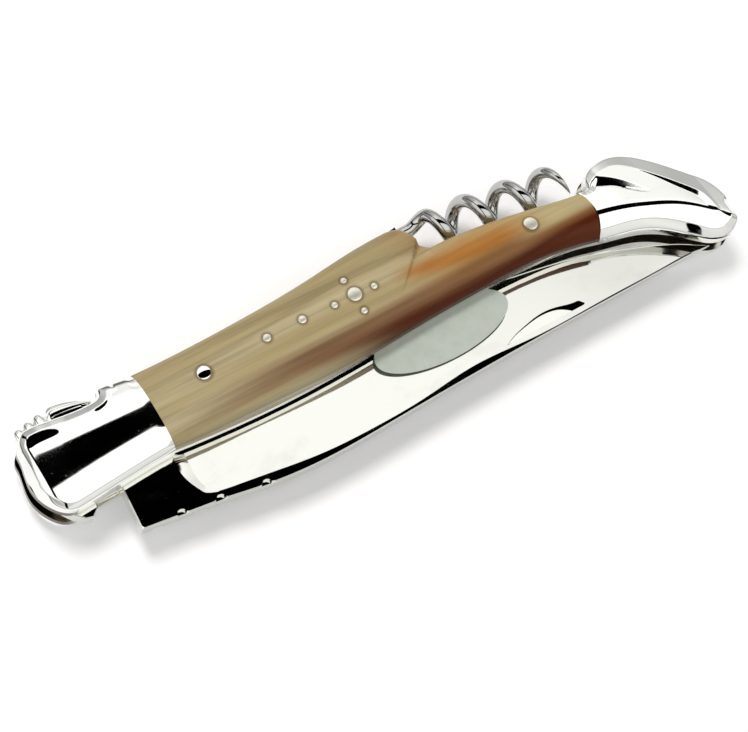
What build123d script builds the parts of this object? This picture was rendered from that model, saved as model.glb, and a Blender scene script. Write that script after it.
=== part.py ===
"""Folding pocket knife with a corkscrew on its back, folded, lying on its side.

X runs along the handle, from the front bolster (-X) to the tail (+X).
+Y is the back, where the corkscrew lies; -Y is the side where the blade folds in.
+Z is up. The mid-plane of the knife is at z = MID, so the rivet heads rest at z = 0.
"""

import math
import os

from build123d import *

os.makedirs("parts", exist_ok=True)

# ---- Driving dimensions, in millimetres ----

# Half thicknesses, measured up from the mid-plane
HALF_SLOT = 1.55        # inner face of a liner
LINER_OUT = 2.8         # outer face of a liner
BLADE_HALF = 1.45       # blade and tang
SPRING_HALF = 1.52      # leaf springs and tail spacer
CROWN = 7.05            # horn scale at its thickest
HEAD = 0.15             # how far a rivet head stands proud
MID = CROWN + HEAD      # height of the mid-plane above the table

# Places along the handle
SEAM_FRONT = -39.4      # front bolster meets horn
SEAM_REAR = 38.6        # horn meets rear bolster
HUMP_END = 10.3         # the horn steps down here to make room for the worm
PLUNGE = -36.5          # the blade's bevel starts here

# Rivets and pins
PIVOT = (-53.5, 1.2)            # blade pivot
CORK_PIVOT = (-3.3, 4.95)       # corkscrew pivot, the middle of the cross
REAR_PIN = (28.3, 2.4)
FRONT_RIVET = (-30.1, 4.9)
TAIL_PIN = (49.5, -0.5)
SPRING_PINS = [(-18.9, 5.2), (-12.6, 5.2)]
CROSS = [(-7.0, 4.9), (0.1, 4.75), (-3.6, 7.7), (-3.4, 2.0)]
PIVOT_R = 1.5
RIVET_R = 1.2
SMALL_R = 0.7
CROSS_R = 0.55
RUNNING = 0.04          # radial play of the two hinges
SNUG = 0.01             # radial play of a fixed pin

# Worm of the corkscrew: a right-handed helix whose axis slopes towards the tail
WIRE_R = 1.1
HELIX_R = 3.0
PITCH = 7.27
WORM_TOP = 14.7         # x of the first top of the helix
WORM_AXIS_Y = 10.4      # height of the axis there
WORM_SLOPE = 7.4        # degrees
WORM_START = 50         # degrees past the first top, where the bent shank joins the helix
WORM_END = 1220         # degrees past the first top
SHANK_Y = 12.1          # the straight shank leaves the tang at this height
SHANK = (9.6, 12.4)     # from inside the tang to where the wire starts to bend
BEND_HOLD = 1.6         # how long the bend keeps the direction of each of its ends
CHANNEL_R = HELIX_R + WIRE_R + 0.4
CHANNEL = (-3.4, 25.6)  # where the channel for the worm starts and ends, along the worm's axis

# Blade and tang
TALON_SWEEP_R = 7.15    # the back spring is relieved to this radius round the pivot
TANG_R = 6.2
HUB_R = 3.1             # corkscrew's root round its pivot
NICK = (16.2, 30.8, -11.9, -10.0)   # nail nick: its ends, its straight side and its crest
NICK_DEPTH = 0.35
NOTCH_R = 0.85          # half-round file notches on the blade's spine
NOTCH_DEPTH = 0.7
NEAR_NOTCHES = [(-42.8, -11.55), (-36.5, -12.35), (-29.2, -13.6)]
FAR_NOTCHES = [(-46.5, -11.1), (-39.7, -11.95), (-32.9, -12.95)]
KEEN = 0.12             # half thickness left at the edge
LABEL = (7.7, -5.6)     # middle of the oval label
LABEL_SIZE = (12.2, 5.2)
LABEL_T = 0.05
ORNAMENT_HALF = 1.75
FLUSH = (5.95, 5.5)     # tops of the two pins ground flush, at the pivot and in the tail

# Stations of the blade's bevel: x, spine, top of the bevel, edge, half thickness
BLADE_STATIONS = [
    (PLUNGE, -12.3, -11.0, 4.3, BLADE_HALF),
    (-28.0, -13.75, -12.2, 3.8, BLADE_HALF),
    (-20.0, -14.4, -13.25, 3.1, BLADE_HALF),
    (-10.0, -14.3, -13.6, 2.15, BLADE_HALF),
    (0.0, -13.9, -13.2, 0.95, 1.4),
    (9.0, -13.6, -12.4, -0.25, 1.35),
    (20.0, -13.35, -12.85, -1.9, 1.3),
    (35.0, -13.15, -12.75, -4.6, 1.15),
    (46.0, -13.0, -12.65, -8.2, 0.95),
    (52.0, -12.95, -12.65, -10.9, 0.7),
    (55.3, -12.95, -12.9, -12.8, 0.15),
]

# Stations of the domed outsides: x, low rim, high rim, height of the rim, crown
HUMP_STATIONS = [
    (-41.0, -2.9, 10.5, 4.0, 6.35),
    (-30.0, -3.2, 10.4, 4.2, 6.6),
    (-15.0, -3.7, 10.8, 4.4, 6.95),
    (-3.0, -3.9, 11.8, 4.4, CROWN),
    (6.0, -3.7, 12.5, 4.3, 6.95),
    (13.0, -3.3, 12.6, 4.2, 6.75),
]
WAIST_STATIONS = [
    (4.0, -3.7, 7.6, 4.2, 6.7),
    (15.0, -3.2, 7.1, 4.2, 6.4),
    (25.0, -3.0, 6.1, 4.2, 6.0),
    (33.0, -3.7, 4.6, 4.1, 5.7),
    (41.0, -5.0, 3.7, 4.0, 5.55),
]
NOSE_STATIONS = [
    (-38.6, -3.3, 10.4, 3.9, 6.35),
    (-46.0, -3.7, 11.2, 3.9, 6.3),
    (-53.0, -4.3, 10.6, 3.8, 6.05),
    (-62.0, -4.6, 10.6, 3.4, 5.0),
]
TAIL_STATIONS = [
    (36.0, -5.0, 6.0, 3.9, 5.55),
    (44.0, -6.4, 7.6, 3.9, 5.6),
    (50.0, -10.2, 6.5, 3.8, 5.6),
    (55.5, -13.8, 2.2, 3.6, 5.3),
    (62.0, -15.0, -3.0, 3.2, 4.4),
]


def at(height):
    """Plane parallel to the table, this far above the knife's mid-plane."""
    return Plane.XY.offset(MID + height)


def across(x):
    """Plane square to the handle at x: local x is +Y, local y is +Z from the mid-plane."""
    return Plane(origin=(x, 0, MID), x_dir=(0, 1, 0), z_dir=(1, 0, 0))


def finish(part, name):
    """Label a finished piece and write it to its own file."""
    part.label = name
    export_step(part, f"parts/{name}.step")


def finish_pair(part, name):
    """Write a piece of the upper side and its mirror image on the lower side."""
    finish(part, f"upper_{name}")
    finish(mirror(part, about=at(0)), f"lower_{name}")


# ---- Outlines, seen from the side ----

def nose_outline():
    """Front bolster: round nose, and a dip in the back beside the ornament, up to a shoulder."""
    seam_low = (SEAM_FRONT, -3.1)
    seam_high = (SEAM_FRONT, 10.15)
    nose_low = (-55.6, -4.1)
    nose_high = (-58.3, 9.85)
    dip = (-47.4, 9.0)
    shoulder_foot = (-45.3, 10.2)
    shoulder = (-44.7, 10.75)
    with BuildLine() as outline:
        Line(seam_high, seam_low)
        Spline(seam_low, (-47.0, -3.5), nose_low, tangents=[(-1, 0), (-1, -0.08)])
        Spline(nose_low, (-59.6, -1.9), (-60.9, 2.4), (-60.2, 6.6), nose_high,
               tangents=[(-1, -0.08), (0.8, 0.6)])
        Spline(nose_high, (-52.5, 9.45), dip, tangents=[(0.9, 0.1), (1, 0)])
        Spline(dip, shoulder_foot, tangents=[(1, 0), (0, 1)])
        Spline(shoulder_foot, shoulder, tangents=[(0, 1), (1, 0)])
        Spline(shoulder, seam_high, tangents=[(1, 0), (1, -0.05)])
    return outline.line


def rear_seam():
    """Curved joint between the horn and the rear bolster."""
    ThreePointArc((SEAM_REAR, 3.6), (SEAM_REAR + 1.1, 0.2), (SEAM_REAR - 1.0, -4.4))


def tail_outline():
    """Rear bolster: hooked down at the tail, with a lobe over the worm's tip."""
    seam_high = (SEAM_REAR, 3.6)
    seam_low = (SEAM_REAR - 1.0, -4.4)
    lobe_foot = (40.9, 3.6)
    lobe_top = (45.4, 7.0)
    tail_end = (60.7, -9.2)
    tail_low = (56.9, -13.5)
    with BuildLine() as outline:
        rear_seam()
        Line(seam_high, lobe_foot)
        Spline(lobe_foot, (41.9, 5.9), lobe_top, tangents=[(0, 1), (1, 0.1)])
        Spline(lobe_top, (52.0, 4.2), (57.2, -1.1), tail_end, tangents=[(1, 0.1), (0, -1)])
        Spline(tail_end, (59.9, -12.3), tail_low, tangents=[(0, -1), (-1, 0.1)])
        Spline(tail_low, (52.2, -10.8), (46.0, -6.6), seam_low, tangents=[(-1, 0.1), (-1, 0.25)])
    return outline.line


def horn_outline():
    """Horn scale: a hump over the corkscrew's root, then a low waist."""
    seam_low = (SEAM_FRONT, -2.7)
    seam_high = (SEAM_FRONT, 10.3)
    hump_top = (6.6, 12.3)
    waist = (11.4, 6.9)
    rear_high = (SEAM_REAR, 3.6)
    rear_low = (SEAM_REAR - 1.0, -4.4)
    with BuildLine() as outline:
        Line(seam_low, seam_high)
        Spline(seam_high, (-26.0, 10.2), (-8.5, 11.1), hump_top, tangents=[(1, -0.05), (1, 0)])
        Spline(hump_top, (HUMP_END, 9.2), waist, tangents=[(1, 0), (1, -0.15)])
        Spline(waist, (21.2, 6.3), (32.0, 4.6), rear_high, tangents=[(1, 0), (1, -0.1)])
        rear_seam()
        Spline(rear_low, (24.0, -2.7), (-5.0, -3.6), seam_low, tangents=[(-1, 0.3), (-1, 0.1)])
    return outline.line


def dome(x, low, high, rim, crown):
    """Cross-section of a scale or bolster: flat inside, upright rim, rolled over to a crown."""
    middle = (low + high) / 2
    shoulder = 0.34 * (high - low)
    lift = 0.8 * (crown - rim)
    with BuildSketch(across(x)) as section:
        with BuildLine():
            Polyline((high, rim), (high, LINER_OUT), (low, LINER_OUT), (low, rim))
            Spline((low, rim), (middle - shoulder, rim + lift), (middle, crown),
                   (middle + shoulder, rim + lift), (high, rim), tangents=[(0, 1), (0, -1)])
        make_face()
    return section.sketch


# ---- Worm, worked out as a helix ----

SLOPE = math.radians(WORM_SLOPE)
AXIS = Vector(math.cos(SLOPE), -math.sin(SLOPE), 0)
AXIS_UP = Vector(math.sin(SLOPE), math.cos(SLOPE), 0)
SIDE = Vector(0, 0, 1)
WORM_ORIGIN = Vector(WORM_TOP, WORM_AXIS_Y, MID)


def worm_frame(degrees):
    """Local frame in which the helix starts this far past the first top."""
    turn = math.radians(degrees)
    origin = WORM_ORIGIN + AXIS * (PITCH * degrees / 360)
    return Plane(origin=origin, x_dir=AXIS_UP * math.cos(turn) + SIDE * math.sin(turn), z_dir=AXIS)


def worm_point(degrees):
    """Point on the middle of the wire."""
    frame = worm_frame(degrees)
    return frame.origin + frame.x_dir * HELIX_R


def worm_tangent(degrees):
    """Direction of the wire."""
    frame = worm_frame(degrees)
    return (frame.y_dir * HELIX_R + AXIS * (PITCH / (2 * math.pi))).normalized()


with BuildPart() as channel:
    with BuildSketch(worm_frame(0).offset(CHANNEL[0])):
        Circle(CHANNEL_R)
    extrude(amount=CHANNEL[1] - CHANNEL[0])

# ---- Liners ----

with BuildPart() as liner:
    with BuildSketch(at(HALF_SLOT)):
        for outline in (nose_outline(), horn_outline(), tail_outline()):
            add(outline)
            make_face()
    extrude(amount=LINER_OUT - HALF_SLOT)
    add(channel.part, mode=Mode.SUBTRACT)
    with Locations(at(LINER_OUT)):
        with Locations(PIVOT):
            Hole(PIVOT_R + SNUG)
        with Locations(CORK_PIVOT, REAR_PIN, FRONT_RIVET, TAIL_PIN):
            Hole(RIVET_R + SNUG)
        with Locations(*SPRING_PINS):
            Hole(SMALL_R + SNUG)
finish_pair(liner.part, "liner")

# ---- Horn scales ----

with BuildPart() as scale:
    for station in HUMP_STATIONS:
        add(dome(*station))
    loft()
    for station in WAIST_STATIONS:
        add(dome(*station))
    loft()
    with BuildSketch(at(LINER_OUT)):
        add(horn_outline())
        make_face()
    extrude(amount=CROWN, mode=Mode.INTERSECT)
    add(channel.part, mode=Mode.SUBTRACT)
    with Locations(at(CROWN)):
        with Locations(CORK_PIVOT, REAR_PIN, FRONT_RIVET):
            Hole(RIVET_R + SNUG)
        with Locations(*SPRING_PINS):
            Hole(SMALL_R + SNUG)
        with Locations(*CROSS):
            Hole(CROSS_R + SNUG)
finish_pair(scale.part, "scale")

# ---- Bolsters ----

with BuildPart() as front_bolster:
    for station in NOSE_STATIONS:
        add(dome(*station))
    loft()
    with BuildSketch(at(LINER_OUT)):
        add(nose_outline())
        make_face()
    extrude(amount=CROWN, mode=Mode.INTERSECT)
    with Locations(at(CROWN)):
        with Locations(PIVOT):
            Hole(PIVOT_R + SNUG)
finish_pair(front_bolster.part, "front_bolster")

with BuildPart() as rear_bolster:
    for station in TAIL_STATIONS:
        add(dome(*station))
    loft()
    with BuildSketch(at(LINER_OUT)):
        add(tail_outline())
        make_face()
    extrude(amount=CROWN, mode=Mode.INTERSECT)
    add(channel.part, mode=Mode.SUBTRACT)
    with Locations(at(CROWN)):
        with Locations(TAIL_PIN):
            Hole(RIVET_R + SNUG)
finish_pair(rear_bolster.part, "rear_bolster")

# ---- Springs and spacer, between the liners ----

ORNAMENT_FOOT = 10.0
ORNAMENT_TAIL = -45.9
SPRING_NOSE = -58.6
SPRING_TAIL = -10.9


def on_sweep(x):
    """Point above the pivot on the circle that the blade's talon sweeps, with its play."""
    return (x, PIVOT[1] + math.sqrt(TALON_SWEEP_R ** 2 - (x - PIVOT[0]) ** 2))


with BuildPart() as back_spring:
    with BuildSketch(at(-SPRING_HALF)):
        with BuildLine():
            under_front = on_sweep(-47.6)
            under_nose = on_sweep(SPRING_NOSE)
            ThreePointArc(under_front, on_sweep(PIVOT[0]), under_nose)
            Polyline(under_nose, (SPRING_NOSE, ORNAMENT_FOOT), (-45.4, ORNAMENT_FOOT), (-44.9, 10.6))
            Spline((-44.9, 10.6), (-39.4, 10.15), (-26.0, 10.1), (SPRING_TAIL, 10.8),
                   tangents=[(1, 0), (1, 0.06)])
            Polyline((SPRING_TAIL, 10.8), (SPRING_TAIL, 3.4), (-25.0, 4.7), (-36.0, 5.2), under_front)
        make_face()
    extrude(amount=2 * SPRING_HALF)
    with Locations(at(SPRING_HALF)):
        with Locations(*SPRING_PINS):
            Hole(SMALL_R + SNUG)
finish(back_spring.part, "back_spring")

with BuildPart() as spring_ornament:
    with BuildSketch(at(-ORNAMENT_HALF)):
        with BuildLine():
            Polyline((ORNAMENT_TAIL, ORNAMENT_FOOT), (SPRING_NOSE, ORNAMENT_FOOT), (SPRING_NOSE, 10.9))
            ThreePointArc((SPRING_NOSE, 10.9), (-57.8, 11.8), (-56.7, 11.4))
            ThreePointArc((-56.7, 11.4), (-55.4, 12.2), (-54.0, 11.8))
            ThreePointArc((-54.0, 11.8), (-50.3, 12.9), (-46.5, 11.4))
            ThreePointArc((-46.5, 11.4), (-46.0, 10.9), (ORNAMENT_TAIL, ORNAMENT_FOOT))
        make_face()
    extrude(amount=2 * ORNAMENT_HALF)
finish(spring_ornament.part, "spring_ornament")

with BuildPart() as corkscrew_spring:
    with BuildSketch(at(-SPRING_HALF)):
        with BuildLine():
            Spline((0.9, 3.6), (4.5, 5.5), (14.0, 5.8), (24.0, 4.6), (39.6, 2.6),
                   tangents=[(1, 0.7), (1, -0.13)])
            Polyline((39.6, 2.6), (39.6, -1.2), (28.0, 0.4), (10.0, 1.6), (0.9, 1.7), (0.9, 3.6))
        make_face()
    extrude(amount=2 * SPRING_HALF)
    with Locations(at(SPRING_HALF)):
        with Locations(REAR_PIN):
            Hole(RIVET_R + SNUG)
finish(corkscrew_spring.part, "corkscrew_spring")

with BuildPart() as tail_spacer:
    with BuildSketch(at(-SPRING_HALF)):
        with BuildLine():
            Polyline((45.6, -3.2), (39.7, -1.3), (39.7, 2.6), (42.4, 3.4))
            Spline((42.4, 3.4), (42.9, 5.5), (45.6, 6.5), tangents=[(0, 1), (1, 0.1)])
            Spline((45.6, 6.5), (51.7, 3.8), (56.8, -1.3), (60.2, -9.3), tangents=[(1, 0), (0, -1)])
            Polyline((60.2, -9.3), (59.4, -12.0), (57.5, -12.7), (56.5, -10.3), (51.9, -7.3), (45.6, -3.2))
        make_face()
    extrude(amount=2 * SPRING_HALF)
    with Locations(at(SPRING_HALF)):
        with Locations(TAIL_PIN):
            Hole(RIVET_R + SNUG)
finish(tail_spacer.part, "tail_spacer")

# ---- Blade ----


def round_pivot(degrees, radius):
    """Point on a circle round the blade's pivot."""
    turn = math.radians(degrees)
    return (PIVOT[0] + radius * math.cos(turn), PIVOT[1] + radius * math.sin(turn))


with BuildPart() as blade:
    for x, spine, bevel, edge, half in BLADE_STATIONS:
        with BuildSketch(across(x)):
            with BuildLine():
                keen = min(KEEN, half)
                Polyline((spine, -half), (bevel, -half), (edge, -keen), (edge, keen),
                         (bevel, half), (spine, half), close=True)
            make_face()
    loft(ruled=True)
    with BuildSketch(at(-BLADE_HALF)):
        with BuildLine():
            heel = (PLUNGE + 0.2, BLADE_STATIONS[0][3])
            heel_spine = (PLUNGE + 0.2, BLADE_STATIONS[0][1])
            head_front = round_pivot(235, TANG_R)
            head_back = round_pivot(62, TANG_R)
            ThreePointArc(head_front, round_pivot(160, TANG_R), head_back)
            Polyline(head_back, (-46.8, 4.3), heel, heel_spine, (-49.1, -10.8), (-48.6, -3.2),
                     (-52.9, -3.2), (-53.3, -4.7), (-54.5, -5.6), (-55.6, -5.3), head_front)
        make_face()
    extrude(amount=2 * BLADE_HALF)
    with BuildSketch(at(BLADE_HALF + 0.1)):
        with BuildLine():
            nick_start, nick_end, straight, crest = NICK
            ThreePointArc((nick_start, straight), ((nick_start + nick_end) / 2, crest), (nick_end, straight))
            Line((nick_end, straight), (nick_start, straight))
        make_face()
    extrude(amount=-(NICK_DEPTH + 0.2), mode=Mode.SUBTRACT)
    with Locations(at(BLADE_HALF)):
        with Locations(*NEAR_NOTCHES):
            Hole(NOTCH_R, depth=NOTCH_DEPTH)
        with Locations(PIVOT):
            Hole(PIVOT_R + RUNNING)
    with Locations(at(NOTCH_DEPTH - BLADE_HALF)):
        with Locations(*FAR_NOTCHES):
            Hole(NOTCH_R, depth=NOTCH_DEPTH)
finish(blade.part, "blade")

with BuildPart() as blade_label:
    with BuildSketch(at(BLADE_HALF)):
        with Locations(LABEL):
            Ellipse(*LABEL_SIZE)
    extrude(amount=LABEL_T)
finish(blade_label.part, "blade_label")

# ---- Corkscrew ----

with BuildPart() as corkscrew_tang:
    with BuildSketch(at(-BLADE_HALF)):
        with Locations(CORK_PIVOT):
            Circle(HUB_R)
        with BuildLine():
            Polyline((-6.0, 4.4), (-6.0, 10.7), (-5.6, 11.1), (3.5, 12.3), (10.4, 13.2), (10.4, 11.0),
                     (-1.0, 2.9), close=True)
        make_face()
    extrude(amount=2 * BLADE_HALF)
    with Locations(at(BLADE_HALF)):
        with Locations(CORK_PIVOT):
            Hole(RIVET_R + RUNNING)
    with BuildSketch(Plane(origin=(SHANK[0], SHANK_Y, MID), x_dir=(0, 1, 0), z_dir=(1, 0, 0))):
        Circle(WIRE_R + SNUG)
    extrude(amount=5, mode=Mode.SUBTRACT)
finish(corkscrew_tang.part, "corkscrew_tang")

with BuildPart() as worm:
    with BuildLine() as wire:
        shank_start = Vector(SHANK[0], SHANK_Y, MID)
        bend_start = Vector(SHANK[1], SHANK_Y, MID)
        bend_end = worm_point(WORM_START)
        Line(shank_start, bend_start)
        Bezier(bend_start, bend_start + Vector(BEND_HOLD, 0, 0),
               bend_end - worm_tangent(WORM_START) * BEND_HOLD, bend_end)
        turns = (WORM_END - WORM_START) / 360
        add(worm_frame(WORM_START).location * Helix(PITCH, PITCH * turns, HELIX_R, mode=Mode.PRIVATE))
    with BuildSketch(Plane(origin=shank_start, z_dir=(1, 0, 0))):
        Circle(WIRE_R)
    sweep(path=wire.wire())
finish(worm.part, "worm")

# ---- Pins and rivets ----


def crown_at(x, stations):
    """Height of the crown at x, between two stations."""
    for left, right in zip(stations, stations[1:]):
        first, last = sorted((left[0], right[0]))
        if first <= x <= last:
            share = (x - left[0]) / (right[0] - left[0])
            return left[4] + share * (right[4] - left[4])
    raise ValueError(x)


def pin(places, radius, top, bottom):
    """Round pins with slightly domed heads, from bottom to top above the mid-plane."""
    with BuildPart() as made:
        with BuildSketch(at(bottom)):
            with Locations(*places):
                Circle(radius)
        extrude(amount=top - bottom)
        heads = made.edges().filter_by(GeomType.CIRCLE).filter_by_position(
            Axis.Z, MID + top - 0.01, MID + top + 0.01)
        fillet(heads, 0.6 * HEAD)
    return made.part


def through_pin(places, radius, top, name):
    """Pin with the same head on both sides."""
    with BuildPart() as made:
        add(pin(places, radius, top, 0))
        mirror(about=at(0))
    finish(made.part, name)


through_pin([PIVOT], PIVOT_R, FLUSH[0], "blade_pivot_pin")
through_pin([CORK_PIVOT], RIVET_R, CROWN + HEAD, "corkscrew_pivot_pin")
through_pin([REAR_PIN], RIVET_R, crown_at(REAR_PIN[0], WAIST_STATIONS) + HEAD, "rear_pin")
through_pin([TAIL_PIN], RIVET_R, FLUSH[1], "tail_pin")
through_pin(SPRING_PINS, SMALL_R, crown_at(-15.8, HUMP_STATIONS) + HEAD, "spring_pins")
finish_pair(pin([FRONT_RIVET], RIVET_R, crown_at(FRONT_RIVET[0], HUMP_STATIONS) + HEAD, HALF_SLOT),
            "front_rivet")
finish_pair(pin(CROSS, CROSS_R, CROWN + 0.5 * HEAD, LINER_OUT), "cross_pins")
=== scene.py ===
"""Folding pocket knife with a corkscrew on its back: its looks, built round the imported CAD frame.

Shapes are worked out in millimetres and become metres when a mesh is made.
X runs along the handle to the tail, +Y is the back, +Z is up, and the mid-plane is at z = MID.
"""

import math

import bmesh
import bpy
import numpy as np
from mathutils import Matrix, Vector
from mathutils.bvhtree import BVHTree
from mathutils.geometry import delaunay_2d_cdt


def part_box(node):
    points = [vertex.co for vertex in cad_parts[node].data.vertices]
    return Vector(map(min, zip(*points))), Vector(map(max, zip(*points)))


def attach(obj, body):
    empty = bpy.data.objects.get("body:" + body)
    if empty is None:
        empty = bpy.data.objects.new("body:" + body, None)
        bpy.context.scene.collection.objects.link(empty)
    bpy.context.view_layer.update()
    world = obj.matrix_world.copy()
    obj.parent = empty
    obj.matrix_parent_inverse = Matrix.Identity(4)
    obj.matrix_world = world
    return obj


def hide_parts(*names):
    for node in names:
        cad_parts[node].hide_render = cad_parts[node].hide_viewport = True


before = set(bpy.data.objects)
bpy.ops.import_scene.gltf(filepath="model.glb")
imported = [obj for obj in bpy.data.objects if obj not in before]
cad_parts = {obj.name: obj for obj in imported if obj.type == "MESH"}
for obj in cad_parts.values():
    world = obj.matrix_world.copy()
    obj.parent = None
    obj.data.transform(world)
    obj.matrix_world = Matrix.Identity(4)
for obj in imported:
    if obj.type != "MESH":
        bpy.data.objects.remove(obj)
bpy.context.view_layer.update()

MM = 0.001
BOW = 1.0               # how far the rear seam bulges towards the tail
SEAM_LEAN = 1.0         # how far the low end of the rear seam lies ahead of its high end


# ---- Reading the frame ----

def triangles(node):
    """Corners of a CAD node's triangles, in millimetres."""
    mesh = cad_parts[node].data
    mesh.calc_loop_triangles()
    points = np.array([v.co for v in mesh.vertices]) / MM
    return points[np.array([t.vertices for t in mesh.loop_triangles])]


def cut(corners, x):
    """(y, z) of every point where the triangles cross the plane at x."""
    found = []
    for a, b in ((0, 1), (1, 2), (2, 0)):
        p, q = corners[:, a], corners[:, b]
        crossing = (p[:, 0] < x) != (q[:, 0] < x)
        p, q = p[crossing], q[crossing]
        share = ((x - p[:, 0]) / (q[:, 0] - p[:, 0]))[:, None]
        found.append((p + share * (q - p))[:, 1:])
    return np.concatenate(found)


def span(node, axis):
    """Lowest and highest place of a CAD node along an axis, in millimetres."""
    low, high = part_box(node)
    return low[axis] / MM, high[axis] / MM


def islands(node):
    """Box of each separate solid in a CAD node, as (low corner, high corner) in millimetres."""
    made = bmesh.new()
    made.from_mesh(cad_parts[node].data)
    bmesh.ops.remove_doubles(made, verts=made.verts, dist=1e-6)
    left, boxes = set(made.verts), []
    while left:
        queue, group = [left.pop()], []
        while queue:
            vert = queue.pop()
            group.append(vert.co / MM)
            near = {edge.other_vert(vert) for edge in vert.link_edges} & left
            left -= near
            queue += near
        points = np.array(group)
        boxes.append((points.min(0), points.max(0)))
    made.free()
    return sorted(boxes, key=lambda box: tuple(box[0]))


MID = sum(span("back_spring", 2)) / 2
LINER_OUT = span("upper_liner", 2)[1] - MID
PIVOT = [sum(span("blade_pivot_pin", axis)) / 2 for axis in (0, 1)]
SEAM_FRONT = span("upper_scale", 0)[0]
SEAM_REAR = span("upper_scale", 0)[1] - BOW


# ---- Curves ----

def spline(ts, values):
    """Natural cubic spline through a few values, as a function."""
    ts, values = np.array(ts, float), np.array(values, float)
    n = len(ts)
    gaps, rows, right = np.diff(ts), np.eye(n), np.zeros(n)
    slopes = np.diff(values) / gaps
    for i in range(1, n - 1):
        rows[i, i - 1:i + 2] = gaps[i - 1], 2 * (gaps[i - 1] + gaps[i]), gaps[i]
        right[i] = 6 * (slopes[i] - slopes[i - 1])
    bends = np.linalg.solve(rows, right)

    def at(t):
        t = np.clip(t, ts[0], ts[-1])
        i = np.clip(np.searchsorted(ts, t, side="right") - 1, 0, n - 2)
        h, a, b = gaps[i], ts[i + 1] - t, t - ts[i]
        return ((bends[i] * a ** 3 + bends[i + 1] * b ** 3) / (6 * h)
                + (values[i] / h - bends[i] * h / 6) * a + (values[i + 1] / h - bends[i + 1] * h / 6) * b)
    return at


def smoothstep(low, high, value):
    """0 below low, 1 above high, and a smooth rise between."""
    share = np.clip((value - low) / (high - low), 0, 1)
    return share * share * (3 - 2 * share)


def softened(values, reach, spread):
    """Values smoothed with a bell curve; the result is shorter by reach at each end."""
    bell = np.exp(-0.5 * (np.arange(-reach, reach + 1) / spread) ** 2)
    return np.convolve(values, bell / bell.sum(), mode="valid")


def arc(middle, radius, start, end, step=3.0):
    """Points on an arc, from start to end in degrees."""
    count = max(2, int(abs(end - start) / step) + 1)
    turns = np.radians(np.linspace(start, end, count))
    return [(middle[0] + radius * math.cos(t), middle[1] + radius * math.sin(t)) for t in turns]


def circle(sides):
    """Angles evenly spaced round a circle."""
    return np.linspace(0, 2 * math.pi, sides, endpoint=False)


def divided(points, step=0.6):
    """A polyline with points added, about a step apart."""
    made = [points[0]]
    for a, b in zip(points, points[1:]):
        count = max(1, int(math.dist(a, b) / step))
        made += [tuple(np.array(a) + (np.array(b) - a) * k / count) for k in range(1, count + 1)]
    return made


# ---- Making meshes ----

def added(name, data):
    """A new object in the scene."""
    made = bpy.data.objects.new(name, data)
    bpy.context.scene.collection.objects.link(made)
    return made


def piece(name, points, faces, material, body, replaces, sharp=30.0):
    """A mesh object from points in millimetres, riding on a body in place of some CAD nodes."""
    mesh = bpy.data.meshes.new(name)
    mesh.from_pydata([Vector(p) * MM for p in points], [], faces)
    work = bmesh.new()
    work.from_mesh(mesh)
    bmesh.ops.remove_doubles(work, verts=work.verts, dist=2e-6)
    bmesh.ops.recalc_face_normals(work, faces=work.faces)
    work.to_mesh(mesh)
    work.free()
    mesh.shade_smooth()
    mesh.set_sharp_from_angle(angle=math.radians(sharp))
    mesh.materials.append(material)
    made = added(name, mesh)
    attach(made, body)
    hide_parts(*replaces)
    return made


def tube_faces(rows, columns):
    """Faces of a closed solid whose rows are rings of points, with a flat cap at each end."""
    faces = []
    for i in range(rows - 1):
        for j in range(columns):
            k = (j + 1) % columns
            faces.append((i * columns + j, i * columns + k, (i + 1) * columns + k, (i + 1) * columns + j))
    faces.append(tuple(range(columns)))
    faces.append(tuple(range((rows - 1) * columns, rows * columns)))
    return faces


def within(places, outline):
    """Whether each place is inside a closed outline."""
    ring = np.array(outline)
    ahead = np.roll(ring, -1, axis=0)
    inside_it = []
    for x, y in places:
        spans = (ring[:, 1] > y) != (ahead[:, 1] > y)
        a, b = ring[spans], ahead[spans]
        crossings = a[:, 0] + (y - a[:, 1]) / (b[:, 1] - a[:, 1]) * (b[:, 0] - a[:, 0])
        inside_it.append((crossings > x).sum() % 2 == 1)
    return inside_it


def gaps_to(line, places):
    """Distance from each place to a polyline."""
    starts, ways = np.array(line[:-1]), np.diff(np.array(line), axis=0)
    squares = np.maximum((ways ** 2).sum(1), 1e-12)
    off = np.array(places)[:, None] - starts
    share = np.clip((off * ways).sum(2) / squares, 0, 1)
    return np.linalg.norm(off - share[..., None] * ways, axis=2).min(1)


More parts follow.
